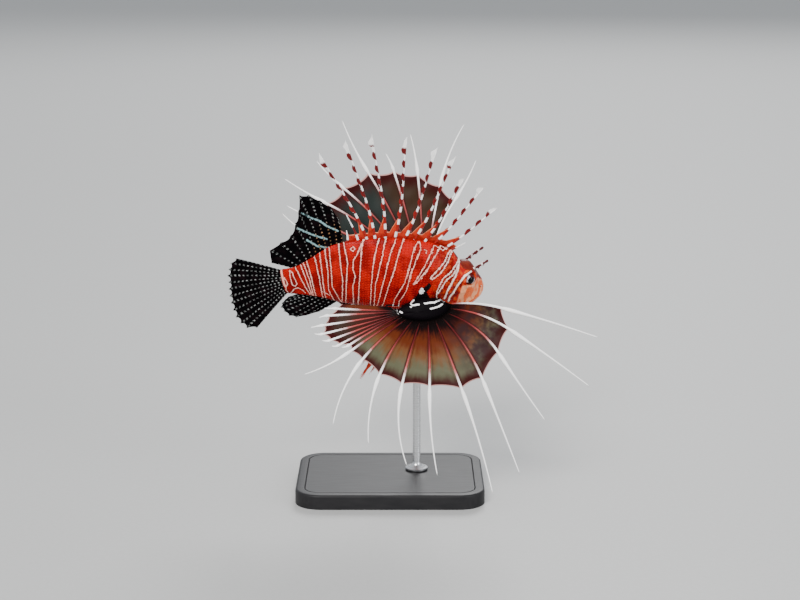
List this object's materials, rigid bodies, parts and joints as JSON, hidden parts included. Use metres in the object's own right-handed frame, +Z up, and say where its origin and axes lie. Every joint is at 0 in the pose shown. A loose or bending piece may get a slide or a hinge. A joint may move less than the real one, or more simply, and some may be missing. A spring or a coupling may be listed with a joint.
{
  "type": "spotfin lionfish museum model on a stand",
  "caption": "Still, life-size model of a spotfin lionfish with spread fins, carried by a slim rod over a flat display base.",
  "frame": {"origin": "centre of the underside of the stand's base, on the surface that it rests on", "axes": "+Z up, +X towards the fish's snout, -Y towards the viewer, who sees its right side"},
  "size_m": [0.2248, 0.1223, 0.2249],
  "materials": {
    "skin": "satin painted skin, red with pairs of thin white lines",
    "eye": "polished dark eye",
    "tentacle": "dark red with white bands",
    "spiny_fin": "satin, red with white bands",
    "spotted_fin": "satin, nearly black with rows of white dots",
    "pelvic_fin": "satin dark red",
    "fin_base": "satin black with white specks",
    "pectoral_fin": "satin olive web with red to white rays",
    "stand_board": "satin black",
    "stand_steel": "brushed"
  },
  "bodies": {
    "root": {"head": "skin", "jaw": "skin", "trunk": "skin", "tail_stem": "skin", "eye_left": "eye", "eye_right": "eye", "tentacle_left": "tentacle", "tentacle_right": "tentacle", "dorsal_spines": "spiny_fin", "soft_dorsal_fin": "spotted_fin", "caudal_fin": "spotted_fin", "anal_fin": "spotted_fin", "pelvic_left": "pelvic_fin", "pelvic_right": "pelvic_fin", "pectoral_base_left": "fin_base", "pectoral_base_right": "fin_base", "pectoral_left": "pectoral_fin", "pectoral_right": "pectoral_fin", "stand_base": "stand_board", "stand_rod": "stand_steel"}
  },
  "joints": []
}
